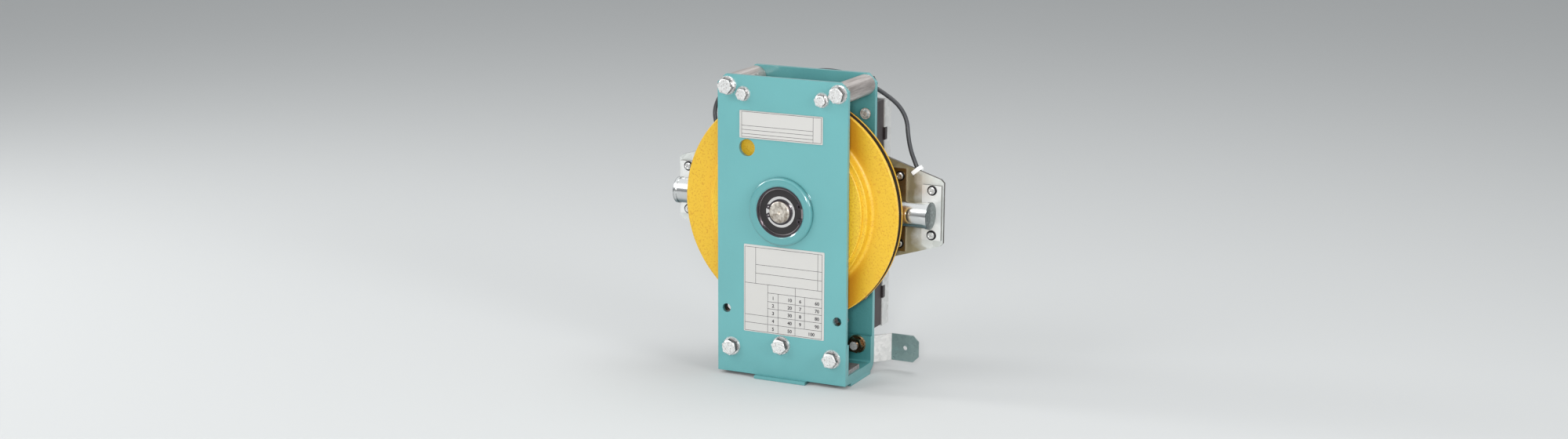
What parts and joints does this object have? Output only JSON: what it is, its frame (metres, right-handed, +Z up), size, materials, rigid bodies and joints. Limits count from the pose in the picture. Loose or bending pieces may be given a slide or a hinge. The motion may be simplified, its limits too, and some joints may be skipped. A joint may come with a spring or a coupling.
{
  "type": "overspeed governor",
  "caption": "Lift overspeed governor: rope pulley between two plates with centrifugal weights, locking wheel, solenoid pawls and a rear switch box.",
  "frame": {"origin": "underside of the foot plate, midway between the two base bolt holes", "axes": "+X to the right seen from the front plate, +Y from the front plate to the rear box, +Z up"},
  "size_m": [0.27, 0.1055, 0.283],
  "materials": {
    "teal_paint": "gloss",
    "yellow_paint": "satin",
    "raw_steel": "brushed",
    "zinc_bolt": "satin",
    "zinc_case": "satin",
    "gold_zinc": "satin",
    "turned_steel": "turned",
    "bearing_steel": "polished",
    "spring_steel": "dark",
    "cast_grey": "cast",
    "galvanised": "galvanised",
    "black_rubber": "matt",
    "black_plastic": "matt",
    "red_plastic": "matt",
    "grey_plastic": "matt",
    "black_cable": "satin",
    "white_plastic": "satin"
  },
  "bodies": {
    "frame_body": {"front_plate": "teal_paint", "back_plate": "teal_paint", "foot_plate": "teal_paint", "base_bracket": "teal_paint", "clamp_bars": "raw_steel", "top_spacers": "raw_steel", "rope_guard_pins": "zinc_bolt", "front_bolts": "zinc_bolt", "front_nuts": "zinc_bolt", "rear_bolts": "zinc_bolt", "rear_nuts": "gold_zinc", "front_bearing_housing": "teal_paint", "rear_bearing_housing": "turned_steel", "bearing_outer_rings": "bearing_steel", "bearing_seals": "black_rubber", "bearing_circlip": "spring_steel", "pivot_pins": "turned_steel", "pivot_clips": "spring_steel", "pawl_springs": "spring_steel", "solenoid_right": "zinc_case", "solenoid_left": "zinc_case", "solenoid_carrier": "galvanised", "solenoid_pads": "galvanised", "pawl_plates": "galvanised", "pad_screws": "zinc_bolt", "carrier_screws": "zinc_bolt", "safety_switch": "black_plastic", "box_tray": "galvanised", "box_screws": "zinc_bolt", "box_nuts": "zinc_bolt", "encoder_sensor": "black_plastic", "terminal_block": "grey_plastic", "side_bracket": "galvanised", "solenoid_lead": "black_cable", "cable_ties": "white_plastic", "lead_connectors": "black_plastic"},
    "pulley_body": {"pulley": "yellow_paint", "main_shaft": "turned_steel", "shaft_key": "turned_steel", "shaft_circlips": "spring_steel", "shaft_sleeve": "turned_steel", "bearing_inner_rings": "bearing_steel", "locking_wheel": "turned_steel", "wheel_screws": "zinc_bolt", "weight_pins": "turned_steel", "weight_clips": "spring_steel", "weight_springs": "spring_steel", "encoder_disc": "black_plastic"},
    "flyweight_a_body": {"flyweight_a": "cast_grey"},
    "flyweight_b_body": {"flyweight_b": "cast_grey"},
    "weight_link_right_body": {"weight_link_right": "galvanised"},
    "weight_link_left_body": {"weight_link_left": "galvanised"},
    "pawl_right_body": {"pawl_right": "turned_steel"},
    "pawl_left_body": {"pawl_left": "turned_steel"},
    "plunger_right_body": {"plunger_right": "turned_steel"},
    "plunger_left_body": {"plunger_left": "turned_steel"},
    "trip_lever_body": {"trip_lever": "galvanised"},
    "trip_roller_body": {"trip_roller": "turned_steel"},
    "switch_button_body": {"switch_button": "red_plastic"},
    "box_lid_body": {"box_lid": "galvanised"}
  },
  "joints": [
    {"name": "pulley_spin", "type": "hinge", "parent": "frame_body", "child": "pulley_body", "pos_m": [0, 0, 0.1605], "axis": [0, 1, 0], "continuous": true},
    {"name": "flyweight_a_swing", "type": "hinge", "parent": "pulley_body", "child": "flyweight_a_body", "pos_m": [0, 0.011, 0.2065], "axis": [0, 1, 0], "range_deg": [0, 10], "stiffness_Nm_per_rad": 1.5},
    {"name": "flyweight_b_swing", "type": "hinge", "parent": "pulley_body", "child": "flyweight_b_body", "pos_m": [0, 0.011, 0.1145], "axis": [0, 1, 0], "range_deg": [0, 10]},
    {"name": "link_right_turn", "type": "hinge", "parent": "flyweight_a_body", "child": "weight_link_right_body", "pos_m": [0.026, 0.0042, 0.2065], "axis": [0, 1, 0], "range_deg": [-10, 0]},
    {"name": "link_left_turn", "type": "hinge", "parent": "flyweight_b_body", "child": "weight_link_left_body", "pos_m": [-0.026, 0.0042, 0.1145], "axis": [0, 1, 0], "range_deg": [-10, 0]},
    {"name": "pawl_right_swing", "type": "hinge", "parent": "frame_body", "child": "pawl_right_body", "pos_m": [0.076, 0.021, 0.1285], "axis": [0, -1, 0], "range_deg": [0, 9.8], "stiffness_Nm_per_rad": 0.4},
    {"name": "plunger_right_slide", "type": "slide", "parent": "frame_body", "child": "plunger_right_body", "axis": [-1, 0, 0], "range_m": [0, 0.0055]},
    {"name": "pawl_left_swing", "type": "hinge", "parent": "frame_body", "child": "pawl_left_body", "pos_m": [-0.076, 0.021, 0.1285], "axis": [0, 1, 0], "range_deg": [0, 9.8], "stiffness_Nm_per_rad": 0.4},
    {"name": "plunger_left_slide", "type": "slide", "parent": "frame_body", "child": "plunger_left_body", "axis": [1, 0, 0], "range_m": [0, 0.0055]},
    {"name": "trip_lever_swing", "type": "hinge", "parent": "frame_body", "child": "trip_lever_body", "pos_m": [0.03, 0.0265, 0.2525], "axis": [0, 1, 0], "range_deg": [0, 5]},
    {"name": "trip_roller_turn", "type": "hinge", "parent": "trip_lever_body", "child": "trip_roller_body", "pos_m": [0, 0.0174, 0.2453], "axis": [0, 1, 0], "continuous": true},
    {"name": "switch_button_press", "type": "slide", "parent": "frame_body", "child": "switch_button_body", "axis": [0, 0, 1], "range_m": [0, 0.0034]},
    {"name": "box_lid_slide", "type": "slide", "parent": "frame_body", "child": "box_lid_body", "axis": [0, 1, 0], "range_m": [0, 0.025]}
  ],
  "couplings": [
    {"joint": "flyweight_b_swing", "follows": "flyweight_a_swing", "ratio": 1},
    {"joint": "link_right_turn", "follows": "flyweight_a_swing", "ratio": -1},
    {"joint": "link_left_turn", "follows": "flyweight_a_swing", "ratio": -1},
    {"joint": "plunger_right_slide", "follows": "pawl_right_swing", "m_per_rad": 0.032077},
    {"joint": "plunger_left_slide", "follows": "pawl_left_swing", "m_per_rad": 0.032077},
    {"joint": "switch_button_press", "follows": "trip_lever_swing", "m_per_rad": 0.038961}
  ]
}
